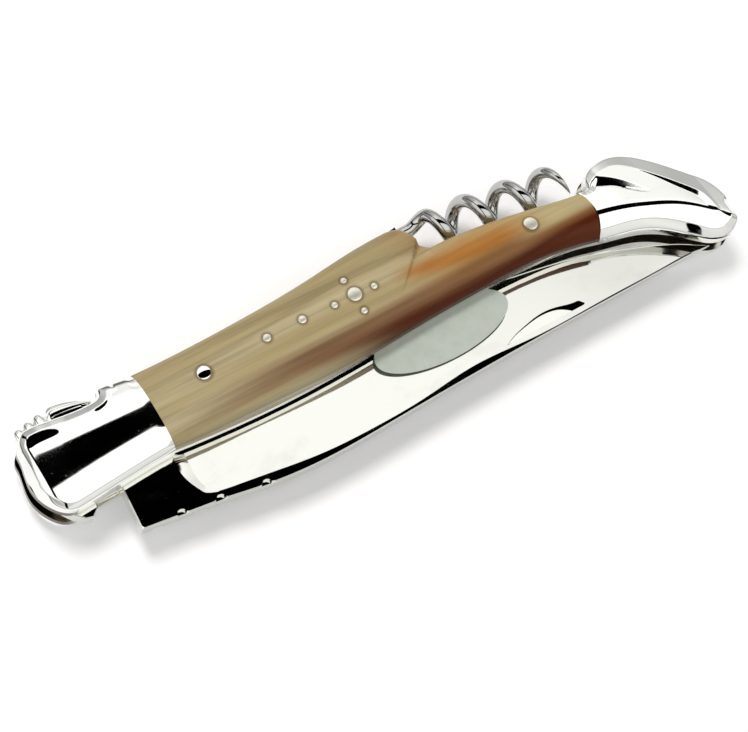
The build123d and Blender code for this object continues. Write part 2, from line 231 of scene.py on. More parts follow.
def plate(outline, creases, spots, top, chamfer):
    """Closed plate over an outline, about the mid-plane.

    top(x, y, side) is the surface's height on that side (1 or -1), creases are lines kept as edges,
    spots are further points, and chamfer is how far the surface drops at the rim.
    """
    points, edges = [], []
    for line in creases:
        first = len(points)
        points += line
        edges += [(i, i + 1) for i in range(first, len(points) - 1)]
    loop = list(range(len(points), len(points) + len(outline)))
    points += list(outline) + list(spots)
    made = delaunay_2d_cdt([Vector(p[:2]) for p in points], edges, [loop], 1, 1e-6, False)
    flat = made[0]
    middles = np.array([sum((flat[i] for i in face), Vector((0, 0))) / 3 for face in made[2]])
    triangles_made = [tuple(face) for face, kept in zip(made[2], within(middles, outline)) if kept]
    uses = {}
    for face in triangles_made:
        for a, b in zip(face, face[1:] + face[:1]):
            uses.setdefault((min(a, b), max(a, b)), []).append((a, b))
    rim = [pair[0] for pair in uses.values() if len(pair) == 1]
    on_rim = {i for edge in rim for i in edge}
    n = len(flat)
    heights = [[top(p.x, p.y, side) - (chamfer if i in on_rim else 0) for i, p in enumerate(flat)]
               for side in (1, -1)]
    solid = [(p.x, p.y, MID + heights[0][i]) for i, p in enumerate(flat)]
    solid += [(p.x, p.y, MID - heights[1][i]) for i, p in enumerate(flat)]
    faces = triangles_made + [tuple(i + n for i in reversed(face)) for face in triangles_made]
    columns = {}
    for i in on_rim:
        columns[i] = (i, len(solid), i + n)
        solid.append(tuple((np.array(solid[i]) + np.array(solid[i + n])) / 2))
    for a, b in rim:
        for k in (0, 1):
            faces.append((columns[a][k], columns[a][k + 1], columns[b][k + 1], columns[b][k]))
    return solid, faces


def inset(outline, distance):
    """A closed outline moved inwards; it runs anticlockwise."""
    points = np.array(outline)
    along = np.roll(points, -1, axis=0) - np.roll(points, 1, axis=0)
    along /= np.linalg.norm(along, axis=1)[:, None]
    moved = points + distance * np.column_stack((-along[:, 1], along[:, 0]))
    return [tuple(p) for p in moved]


def anticlockwise(outline):
    """The outline in anticlockwise order."""
    area = sum(a[0] * b[1] - b[0] * a[1] for a, b in zip(outline, outline[1:] + outline[:1]))
    return outline if area > 0 else outline[::-1]


# ---- Materials ----

class Graph:
    """A node tree, built up with short calls."""

    def __init__(self, tree):
        self.tree = tree

    def feed(self, socket, value):
        if isinstance(value, bpy.types.NodeSocket):
            self.tree.links.new(value, socket)
        else:
            socket.default_value = value

    def math(self, operation, *values):
        node = self.tree.nodes.new("ShaderNodeMath")
        node.operation = operation
        for socket, value in zip(node.inputs, values):
            self.feed(socket, value)
        return node.outputs[0]

    def times(self, first, second):
        return self.math("MULTIPLY", first, second)

    def split(self, vector):
        node = self.tree.nodes.new("ShaderNodeSeparateXYZ")
        self.feed(node.inputs[0], vector)
        return node.outputs

    def between(self, value, low, high, to_low=0.0, to_high=1.0, smooth=True):
        node = self.tree.nodes.new("ShaderNodeMapRange")
        node.interpolation_type = "SMOOTHSTEP" if smooth else "LINEAR"
        for socket, given in zip(node.inputs, (value, low, high, to_low, to_high)):
            self.feed(socket, given)
        return node.outputs[0]


class Shade(Graph):
    """A node material with the usual surface."""

    def __init__(self, name):
        self.material = bpy.data.materials.new(name)
        self.material.use_nodes = True
        super().__init__(self.material.node_tree)
        self.surface = self.tree.nodes["Principled BSDF"]
        self.place = self.tree.nodes.new("ShaderNodeTexCoord").outputs["Object"]

    def set(self, **values):
        """Set or link sockets of the surface; an underscore stands for a space."""
        for name, value in values.items():
            self.feed(self.surface.inputs[name.replace("_", " ")], value)

    def millimetres(self):
        """X and y in millimetres."""
        x, y, _ = self.split(self.place)
        return self.times(x, 1 / MM), self.times(y, 1 / MM)

    def noise(self, scale, detail, roughness=0.5, distortion=0.0, start=(0, 0, 0)):
        """Noise with this many features a metre along each axis."""
        mapping = self.tree.nodes.new("ShaderNodeMapping")
        self.feed(mapping.inputs["Vector"], self.place)
        mapping.inputs["Scale"].default_value = scale
        mapping.inputs["Location"].default_value = start
        node = self.tree.nodes.new("ShaderNodeTexNoise")
        self.feed(node.inputs["Vector"], mapping.outputs[0])
        node.inputs["Scale"].default_value = 1.0
        node.inputs["Detail"].default_value = detail
        node.inputs["Roughness"].default_value = roughness
        node.inputs["Distortion"].default_value = distortion
        return node.outputs["Fac"]

    def ramp(self, value, *stops):
        """Colour or grey from (place, colour) stops."""
        node = self.tree.nodes.new("ShaderNodeValToRGB")
        self.feed(node.inputs[0], value)
        while len(node.color_ramp.elements) < len(stops):
            node.color_ramp.elements.new(0.5)
        for element, (where, colour) in zip(node.color_ramp.elements, stops):
            element.position = where
            element.color = (*colour, 1) if isinstance(colour, tuple) else (colour,) * 3 + (1,)
        return node.outputs["Color"]

    def mix(self, share, first, second, blend="MIX"):
        node = self.tree.nodes.new("ShaderNodeMix")
        node.data_type, node.blend_type = "RGBA", blend
        self.feed(node.inputs["Factor"], share)
        for socket, value in ((node.inputs[6], first), (node.inputs[7], second)):
            self.feed(socket, (*value, 1) if isinstance(value, tuple) else value)
        return node.outputs[2]

    def bump(self, height, strength, distance):
        node = self.tree.nodes.new("ShaderNodeBump")
        node.inputs["Strength"].default_value = strength
        node.inputs["Distance"].default_value = distance
        self.feed(node.inputs["Height"], height)
        self.feed(self.surface.inputs["Normal"], node.outputs[0])


# Dark colour painted on the liners' front end as the shade in the slot there
NOSE_PAINTED_SHADE = (0.06, 0.045, 0.03)


def polished(name, tint, roughness, scratches=0.03, smudge=0.05, painted_nose_shade=False):
    """Polished steel: fine buffing lines along the piece, faint smudges and a few specks, and, where asked,
    painted shade darkening the front end.
    """
    shade = Shade(name)
    buffing = shade.noise((300, 9000, 9000), detail=3, roughness=0.7)
    smears = shade.noise((90, 160, 160), detail=4, roughness=0.6, distortion=0.4, start=(3, 1, 2))
    specks = shade.noise((3600, 3600, 3600), detail=1)
    worn = shade.between(smears, 0.52, 0.75)
    spots = shade.between(specks, 0.77, 0.83)
    dull = shade.math("MULTIPLY_ADD", worn, smudge, roughness)
    dull = shade.math("MULTIPLY_ADD", buffing, smudge * 0.4, dull)
    dull = shade.math("MULTIPLY_ADD", spots, 0.25, dull)
    darker = tuple(0.86 * c for c in tint)
    colour = shade.mix(shade.times(worn, 0.5), tint, darker)
    # Painted shade: the front end darkens past x = -55.5 mm, where the slot lies in shadow
    if painted_nose_shade:
        x, _ = shade.millimetres()
        colour = shade.mix(shade.between(x, -55.5, -58.0), colour, NOSE_PAINTED_SHADE)
    shade.set(Base_Color=colour, Metallic=1.0, Roughness=dull)
    shade.bump(buffing, scratches, 0.00002)
    return shade.material


PIN_NODES = ("corkscrew_pivot_pin", "rear_pin", "spring_pins", "upper_front_rivet", "lower_front_rivet",
             "upper_cross_pins", "lower_cross_pins")


def pin_shade_and_grime(shade, x, y):
    """1 against a pin's edge, falling to 0 a little way off, for the painted shade in the gap round each pin
    and the grime that gathers there.
    """
    least = 9.0
    pins = {(round(low[0] + high[0], 3) / 2, round(low[1] + high[1], 3) / 2, (high[0] - low[0]) / 2)
            for node in PIN_NODES if not node.startswith("lower") for low, high in islands(node)}
    for px, py, radius in sorted(pins):
        dx, dy = shade.math("SUBTRACT", x, px), shade.math("SUBTRACT", y, py)
        off = shade.math("SQRT", shade.math("ADD", shade.times(dx, dx), shade.times(dy, dy)))
        least = shade.math("MINIMUM", least, shade.math("SUBTRACT", off, float(radius)))
    return shade.between(least, 0.55, 0.0)


# Colours of the horn: stops over the wide streaks, then the bands laid over them
HORN_PALE = ((0.3, (0.30, 0.235, 0.112)), (0.5, (0.42, 0.335, 0.178)), (0.68, (0.50, 0.42, 0.255)))
HORN_REAR = ((0.3, (0.30, 0.15, 0.045)), (0.52, (0.40, 0.225, 0.075)), (0.7, (0.46, 0.32, 0.15)))
FLAME = (0.40, 0.155, 0.03)
PINK = (0.20, 0.09, 0.038)
PALE_EDGE = (0.47, 0.38, 0.20)
DEEP_RED = (0.078, 0.010, 0.001)
GLOW = (0.52, 0.45, 0.28)
# Painted shade, with some grime, round the pins
PIN_SHADE_AND_GRIME = (0.10, 0.055, 0.025)
HORN_LOW = -4.0         # y of the horn's low edge, about
HORN_X = (-40, 38)      # its front and rear end, about


def horn(name, seed):
    """Pressed horn: streaks along the handle, a fiery band at the rear of the blade side, polished."""
    shade = Shade(name)
    x, y = shade.millimetres()
    drift = shade.noise((18, 90, 60), detail=2, start=(seed, 0, 0))
    drift = shade.math("SUBTRACT", drift, 0.5)
    wide = shade.noise((9, 230, 200), detail=3, roughness=0.55, start=(0, seed, 0))
    streak = shade.noise((20, 560, 450), detail=4, roughness=0.6, start=(0, 0, seed))
    fibre = shade.noise((60, 5200, 4000), detail=2, roughness=0.7)
    level = shade.math("MULTIPLY_ADD", drift, 5.0, y)

    def off(line):
        return shade.math("ABSOLUTE", shade.math("SUBTRACT", level, line))

    def lay(ground, colour, share, *masks):
        """A colour over the ground, where the two masks multiply."""
        return shade.mix(shade.times(shade.times(*masks), share), ground, colour)

    ground = shade.mix(shade.between(x, 2, 18), shade.ramp(wide, *HORN_PALE), shade.ramp(wide, *HORN_REAR))
    # The warm streak in the upper part of the rear
    flame_line = shade.between(x, 4, 30, 5.0, 2.6, smooth=False)
    ground = lay(ground, FLAME, 0.85, shade.between(off(flame_line), 2.4, 0.2), shade.between(x, 2, 9))
    # The pinkish band under the middle
    pink_line = shade.between(x, *HORN_X, -1.2, 0.4, smooth=False)
    ground = lay(ground, PINK, 0.85, shade.between(off(pink_line), 3.0, 0.6), shade.between(x, -42, -10))
    # The pale back edge at the very rear
    pale_edge = shade.times(shade.between(level, -0.2, 1.6), shade.between(x, 22, 33))
    ground = shade.mix(pale_edge, ground, PALE_EDGE)
    # The deep red-brown band, and the paler low edge ahead of it
    deep_line = shade.between(x, -20, HORN_X[1], HORN_LOW + 1.7, HORN_LOW + 2.2, smooth=False)
    deep = shade.between(shade.math("SUBTRACT", level, deep_line), 2.2, 0.3)
    ground = lay(ground, DEEP_RED, 0.95, deep, shade.between(x, -20, 4))
    low_glow = shade.between(y, HORN_LOW + 2.6, HORN_LOW + 0.2)
    ground = lay(ground, GLOW, 0.8, low_glow, shade.between(x, 0, -18))
    # Streaks, fibres, and the painted shade and grime round the pins
    ground = shade.mix(0.8, ground, shade.ramp(streak, (0.32, 0.58), (0.5, 0.95), (0.68, 1.15)), "MULTIPLY")
    ground = shade.mix(0.15, ground, shade.ramp(fibre, (0.3, 0.7), (0.7, 1.15)), "MULTIPLY")
    ground = shade.mix(shade.times(pin_shade_and_grime(shade, x, y), 0.6), ground, PIN_SHADE_AND_GRIME)
    gloss = shade.math("MULTIPLY_ADD", streak, 0.16, 0.2)
    shade.set(Base_Color=ground, Roughness=gloss, IOR=1.54, Specular_IOR_Level=0.08, Coat_Weight=0.05,
              Coat_Roughness=0.06, Subsurface_Weight=0.1, Subsurface_Scale=0.0012,
              Subsurface_Radius=(1.0, 0.55, 0.25))
    shade.bump(fibre, 0.08, 0.00003)
    return shade.material


def paper(name):
    """Satin label paper, blank, with a faint mottling."""
    shade = Shade(name)
    mottle = shade.noise((500, 500, 500), detail=4, roughness=0.65)
    fibre = shade.noise((2500, 6000, 3000), detail=2)
    shade.set(Base_Color=shade.ramp(mottle, (0.35, (0.475, 0.52, 0.46)), (0.65, (0.52, 0.565, 0.505))),
              Roughness=shade.math("MULTIPLY_ADD", mottle, 0.2, 0.42), Coat_Weight=0.15, Coat_Roughness=0.3)
    shade.bump(fibre, 0.15, 0.00002)
    return shade.material


def filed_in_shade(name, tint, roughness):
    """Filed metal, not polished: cross-grained lines and tarnish mottling, with no shine, so that a
    near-black tint reads as painted shade.
    """
    shade = Shade(name)
    filing = shade.noise((6000, 500, 6000), detail=3, roughness=0.7)
    tarnish = shade.noise((300, 300, 300), detail=4, roughness=0.65)
    darker = tuple(0.45 * c for c in tint)
    shade.set(Base_Color=shade.mix(shade.between(tarnish, 0.42, 0.7), tint, darker), Metallic=0.0,
              Specular_IOR_Level=0.0, Roughness=shade.math("MULTIPLY_ADD", filing, 0.22, roughness))
    shade.bump(filing, 0.2, 0.00003)
    return shade.material


STEEL = polished("mirror_steel", (0.90, 0.905, 0.875), 0.03)
BLADE_STEEL = polished("blade_steel", (0.735, 0.74, 0.70), 0.035)
# The liners carry painted shade at their front end
LINER_STEEL = polished("liner_steel", (0.80, 0.79, 0.72), 0.09, 0.08, 0.1, painted_nose_shade=True)
WIRE_STEEL = polished("corkscrew_steel", (0.50, 0.50, 0.49), 0.04, 0.05, 0.08)
PIN_STEEL = polished("pin_steel", (0.97, 0.93, 0.80), 0.34, 0.05, 0.1)
SPRING_STEEL = polished("spring_steel", (0.82, 0.82, 0.79), 0.07, 0.12, 0.12)
# The tail spacer is near black and without shine: painted shade for the dark slot between the liners
SPACER_SHADE = filed_in_shade("spacer_brass", (0.022, 0.017, 0.012), 0.45)
HORN_UPPER = horn("horn_upper", 3.1)
HORN_LOWER = horn("horn_lower", 11.7)
PAPER = paper("label_paper")


# ---- Domed sides: horn scales and bolsters ----

RIM_SHARE = 0.33        # height of the upright rim, as a share of the way from liner to crown
CREASE = 0.035          # how softly a filed bevel meets the top
EDGE_BREAK = 0.16       # how far the broken outer edge drops
EDGE_WIDTH = 0.12       # and over what width


def across(lows, highs, columns):
    """Plan of rings from the low edge to the high edge, closer together near both, and their shares."""
    t = np.linspace(-1, 1, columns)
    s = t * (3 - t * t) / 2
    return lows[:, None] + (highs - lows)[:, None] * ((s + 1) / 2)[None, :, None], s


def walled(plan, heights):
    """Rings of a closed side that stands on the liner: up the low wall, over the top, down the high wall."""
    wall = np.linspace(0, 1, 5)[:-1]
    rings = []
    for places, tops in zip(plan, heights):
        over = np.column_stack((places, tops))
        up = [(*places[0], LINER_OUT + (tops[0] - LINER_OUT) * w) for w in wall]
        down = [(*places[-1], LINER_OUT + (tops[-1] - LINER_OUT) * w) for w in wall[::-1]]
        rings.append(np.array([*up, *over, *down]))
    return np.array(rings)


def horn_section(crowns, s):
    """Heights of the horn over shares s, for each crown: flatter on top than an ellipse."""
    rims = LINER_OUT + RIM_SHARE * (crowns - LINER_OUT)
    arch = np.sqrt(np.clip(1 - np.abs(s) ** 2.6, 0, 1))
    return rims[:, None] + (crowns - rims)[:, None] * arch[None]


def bevel(gap, width, slope):
    """How far a filed bevel takes the surface down, this far from the edge, with the edge itself broken."""
    ramp = slope * CREASE * np.logaddexp(0, (width - gap) / CREASE)
    return ramp + EDGE_BREAK * np.exp(-gap / EDGE_WIDTH)


def domed_pair(name, rings, materials, carve=None):
    """The upper and lower piece of a domed side, from rings of points above the mid-plane."""
    rows, columns = rings.shape[:2]
    points = rings.reshape(-1, 3).copy()
    if carve is not None:
        points[:, 2] -= carve(points[:, 0], points[:, 1], points[:, 2])
    made = []
    for side, half, material in ((1, "upper", materials[0]), (-1, "lower", materials[1])):
        placed = points * (1, 1, side) + (0, 0, MID)
        made.append(piece(f"{half}_{name}_shell", placed, tube_faces(rows, columns), material, "handle",
                          [f"{half}_{name}"], 35.0))
    return made


def measured(node, xs):
    """Low rim, high rim and crown of a CAD node above the mid-plane, at each x."""
    corners = triangles(node)
    cuts = [cut(corners, x) for x in xs]
    lows, highs = [c[:, 0].min() for c in cuts], [c[:, 0].max() for c in cuts]
    return lows, highs, [c[:, 1].max() - MID for c in cuts]


def arc_spaced(points, count):
    """Points evenly spaced along a polyline."""
    steps = np.concatenate(([0], np.cumsum(np.linalg.norm(np.diff(points, axis=0), axis=1))))
    places = np.linspace(0, steps[-1], count)
    return np.column_stack([np.interp(places, steps, points[:, k]) for k in (0, 1)])


# Horn scales

WHOLE_END = SEAM_REAR - 1.2     # the CAD scale is whole up to here
VALLEY_NOTCH = (10.6, 6.9)      # the valley behind the hump begins at the step's notch
VALLEY_TIP = (2.9, 1.2)         # and runs out here
VALLEY_HALF = 1.25              # half its width at the notch
VALLEY_DEPTH = 1.25             # and its depth there


def valley(x, y, z):
    """A V-shaped groove that starts at the notch and runs out at its tip."""
    notch, tip = np.array(VALLEY_NOTCH), np.array(VALLEY_TIP)
    length = np.linalg.norm(notch - tip)
    way = (notch - tip) / length
    off = np.column_stack((x, y)) - tip
    run, wide = off @ way / length, off @ np.array((-way[1], way[0]))
    half = 0.05 + VALLEY_HALF * np.clip(run, 0, 1.4) ** 1.05
    depth = VALLEY_DEPTH * np.clip(run, 0, 1.4) ** 1.1
    middle = 0.45 * half
    past, short = (wide - middle) / (half - middle), (middle - wide) / (half + middle)
    tent = np.where(wide > middle, 1 - past, 1 - short)
    return depth * np.clip(tent, 0, 1) * (run > 0) * (z > LINER_OUT + 0.2)


def make_scales():
    """Horn scales: the outline comes from the CAD scale, and the valley behind the hump is carved."""
    node = "upper_scale"
    start = SEAM_FRONT + 0.05
    fine = np.linspace(start, WHOLE_END, 320)
    highs = softened(np.pad(measured(node, fine)[1], 6, mode="edge"), 6, 2.5)
    stations = [start, -35, -25, -10, 5, 20, 30, WHOLE_END]
    low_line = spline(stations, measured(node, stations)[0])
    crown_x = [start, -34, -24, -10, 4, 18, 24, WHOLE_END]
    crown_line = spline(crown_x, measured(node, crown_x)[2])
    ends = np.linspace(SEAM_FRONT, SEAM_REAR, len(fine))
    high_points = arc_spaced(np.column_stack((ends, highs)), 420)
    low_points = arc_spaced(np.column_stack((ends, low_line(fine))), 420)
    low_points[:, 0] -= SEAM_LEAN * smoothstep(SEAM_FRONT, SEAM_REAR, low_points[:, 0]) ** 4
    crowns = crown_line((high_points[:, 0] + low_points[:, 0]) / 2)
    plan, s = across(low_points, high_points, 84)
    rings = walled(plan, horn_section(crowns, s))
    share = (rings[:, :, 1] - low_points[:, None, 1]) / (high_points[:, 1] - low_points[:, 1])[:, None]
    weight = np.clip((rings[:, :, 0] - SEAM_REAR + 12) / 12, 0, 1) ** 3
    rings[:, :, 0] += weight * BOW * 4 * share * (1 - share)
    return domed_pair("scale", rings, (HORN_UPPER, HORN_LOWER), valley)


# Bolsters

def edges_of(node, start, tip, count):
    """Low and high edge of a CAD bolster from seam to tip, as evenly spaced points, and its crown line."""
    order = int(np.sign(tip - start))
    xs = start + (tip - start) * np.sin(np.linspace(0, 1, 260) * math.pi / 2)
    xs[0] += 0.01 * order
    xs[-1] -= 0.01 * order
    lows, highs, crowns = measured(node, xs)
    lows[-1] = highs[-1] = (lows[-1] + highs[-1]) / 2
    lines = []
    for values in (lows, highs):
        line = arc_spaced(np.column_stack((xs, values)), count)
        padded = np.concatenate((2 * line[0] - line[5:0:-1], line, 2 * line[-1] - line[-2:-7:-1]))
        lines.append(np.column_stack([softened(padded[:, k], 5, 2.0) for k in (0, 1)]))
    return *lines, spline(xs[::40][::order], crowns[::40][::order])


BARREL = (-58.0, -41.0)         # the front bolster's top is a barrel between these places
BARREL_BEND = (0.036, 0.056)    # how much it curves across the handle at each, in 1/mm
BARREL_Y = (4.25, 3.9)          # y of its highest line at each
NOSE_START = -55.0      # the nose starts to fall away here
NOSE_LEVEL = -54.0      # where the nose's crown is measured
NOSE_FALL = (2.3e-4, 5.26)      # factor and power of its fall
NOSE_CORNER = -58.2     # the back edge ends here and the nose's own edge begins
NOSE_FLARE = 0.36       # rise of the top by the ornament
SHOULDER_FLARE = 0.14   # rise of the top by the shoulder at the seam


def make_front_bolsters():
    """Front bolsters: a long barrel with filed bevels, a round nose, and a flare up to the ornament."""
    node = "upper_front_bolster"
    lows, highs, crown_line = edges_of(node, SEAM_FRONT, span(node, 0)[0], 250)
    plan, s = across(lows, highs, 140)
    back_edge = highs[highs[:, 0] > NOSE_CORNER]
    low_gap, high_gap, back_gap = (np.array([gaps_to(line, places) for places in plan])
                                   for line in (lows, highs, back_edge))
    x, y = plan[:, :, 0], plan[:, :, 1]
    off = y - np.interp(x, BARREL, BARREL_Y)
    top = crown_line(np.maximum(x, NOSE_LEVEL)) - np.interp(x, BARREL, BARREL_BEND) * off ** 2 / 2
    top -= NOSE_FALL[0] * np.clip(NOSE_START - x, 0, None) ** NOSE_FALL[1]
    top += NOSE_FLARE * smoothstep(3.0, 1.0, back_gap) * smoothstep(-51.5, -56.5, x)
    by_shoulder = smoothstep(-48.2, -46.6, x) * smoothstep(-42.6, -43.6, x)
    top += SHOULDER_FLARE * smoothstep(1.9, 1.05, high_gap) * by_shoulder
    top -= bevel(low_gap, 0.9, 0.55) + bevel(high_gap, 1.15, 0.36)
    near_seam = smoothstep(BARREL[1], SEAM_FRONT, x)
    heights = top + (horn_section(crown_line(highs[:, 0]), s) - top) * near_seam
    heights = np.maximum(heights, LINER_OUT + 0.25)
    return domed_pair("front_bolster", walled(plan, heights), (STEEL, STEEL))


# Rear bolster: places along it and a value at each, for the ridge line, the bevel on the back edge,
# and the gentler tread inside that bevel
RIDGE_Y = ([38.0, 42.1, 45.0, 47.9, 51.1, 54.1, 56.4, 61.0],
           [-0.4, -1.4, -2.3, -3.4, -4.8, -6.6, -8.4, -12.5])
BAND_WIDTH = ([40.0, 42.7, 46.0, 50.0, 54.0, 58.0], [1.0, 1.4, 1.7, 2.5, 2.8, 3.1])
BAND_SLOPE = ([42.0, 50.0, 58.0], [0.34, 0.25, 0.17])
TREAD_WIDTH = ([49.0, 54.0, 60.5], [0.0, 0.9, 1.5])
SWELLING = (53.6, -10.2)        # middle of the low swelling near the tail


def make_rear_bolsters():
    """Rear bolsters: hooked, with a lobe over the worm's tip, filed ridges and a leaf-shaped groove."""
    node = "upper_rear_bolster"
    lows, highs, crown_line = edges_of(node, SEAM_REAR, span(node, 0)[1], 300)
    plan, s = across(lows, highs, 170)
    share = ((s + 1) / 2)[None]
    weight = np.clip((SEAM_REAR + 6 - plan[:, :, 0]) / 6, 0, 1) ** 2
    plan[:, :, 0] += weight * (BOW * 4 * share * (1 - share) - SEAM_LEAN * (1 - share) ** 2)
    low_gap, high_gap = (np.array([gaps_to(line, places) for places in plan]) for line in (lows, highs[12:]))
    x, y = plan[:, :, 0], plan[:, :, 1]
    off = y - spline(*RIDGE_Y)(x)
    flank = 0.155 * (np.sqrt(off ** 2 + 0.8 ** 2) - 0.8)
    low_side = np.where(off < 0, 0.15 * (np.sqrt(off ** 2 + 1.2 ** 2) - 1.2) + 0.011 * off ** 2, 0)
    top = crown_line(np.minimum(x, 58.0)) - flank - low_side
    band, slope, tread = (np.interp(highs[:, 0], *line)[:, None]
                          for line in (BAND_WIDTH, BAND_SLOPE, TREAD_WIDTH))
    top += 0.19 * np.clip(band + tread - high_gap, 0, tread)
    top -= bevel(low_gap, 1.35, 0.6) + bevel(high_gap, band, slope)
    along = np.array((0.707, -0.707))
    place = (plan - SWELLING) @ np.column_stack((along, along[::-1] * (-1, 1)))
    top += 0.2 * np.exp(-0.5 * ((place / (1.5, 0.6)) ** 2).sum(2))
    heights = np.maximum(top - leaf_groove(x, y), LINER_OUT + 0.3)
    return domed_pair("rear_bolster", walled(plan, heights), (STEEL, STEEL))


LEAF = ((43.35, 4.6), (49.6, -1.65))    # ends of the leaf's middle line
LEAF_SLOPE = 0.15
FACET_SLOPE = 0.2       # the facet is this much steeper


def leaf_groove(x, y):
    """Depth of the carving on the lobe: a flat leaf, a bright facet under it, and a hair line."""
    begin, end = np.array(LEAF)
    length = np.linalg.norm(end - begin)
    way = (end - begin) / length
    run = ((x - begin[0]) * way[0] + (y - begin[1]) * way[1]) / length
    wide = -(x - begin[0]) * way[1] + (y - begin[1]) * way[0]
    held = np.clip(run, 0.0, 1.0)
    upper = 0.52 * np.sin(math.pi * held ** 0.8)
    lower = -0.68 * np.sin(math.pi * held ** 0.75)
    crack = np.interp(run, [-0.1, 0.0, 0.3, 0.75, 1.0], [-2.2, -1.9, -1.15, -0.8, -0.45])
    shown = smoothstep(-0.12, 0.0, run) * smoothstep(1.02, 0.97, run)
    leaf = LEAF_SLOPE * np.clip(upper - wide, 0, upper - lower)
    facet = np.clip(lower - wide, 0, np.maximum(lower - crack, 0)) * smoothstep(0.62, 0.4, run)
    facet = (LEAF_SLOPE + FACET_SLOPE) * facet
    hair = 0.1 * np.clip(1 - np.abs(wide - crack) / 0.1, 0, 1) * smoothstep(0.9, 0.7, run)
    return np.where(wide > crack, leaf + facet, 0) * shown + hair * shown


# ---- Blade ----

PLUNGE = -36.5                          # the ricasso ends here and the CAD's sections are followed
EDGE_HALF = 0.06                        # half the thickness of the cutting edge
TANG_R = 6.2                            # round of the tang about the pivot
TALON = [(-55.6, -5.3), (-54.5, -5.6), (-53.3, -4.7), (-52.9, -3.2), (-48.6, -3.2)]
HEEL_SPINE = (-49.2, -10.7)             # corner of the ricasso on the spine's side
HEEL_EDGE = (-46.8, 4.3)                # and on the edge's side
NICK = (15.8, 30.85, -12.0)             # ends and straight side of the nail nick
NICK_INNER = [17.3, 19.8, 23.1, 26.3, 29.7, 30.5]
NICK_ARCH = [-11.3, -10.6, -10.0, -10.2, -10.9, -11.3]      # its arched side at those places
NICK_FLAT, NICK_STEEP = 0.1, 0.3        # slopes of its two facets
PLUNGE_Y = [-11.4, -11.1, -10.5, -9.8, -8.0, -5.7, -3.5, 4.5]
PLUNGE_TOP = [-35.3, -36.1, -37.7, -38.4, -39.25, -39.8, -39.7, -38.6]      # x of its two edges there
PLUNGE_FOOT = [-35.0, -35.8, -36.9, -37.4, -37.95, -37.9, -37.7, -36.9]
NOTCHES = {1: [(-42.8, -11.55), (-36.5, -12.35), (-29.2, -13.6)],           # file notches on each side
           -1: [(-46.5, -11.1), (-39.7, -11.95), (-32.9, -12.95)]}
NOTCH_R = 0.85
NOTCH_DEPTH = 0.75
CHAMFER = 0.16


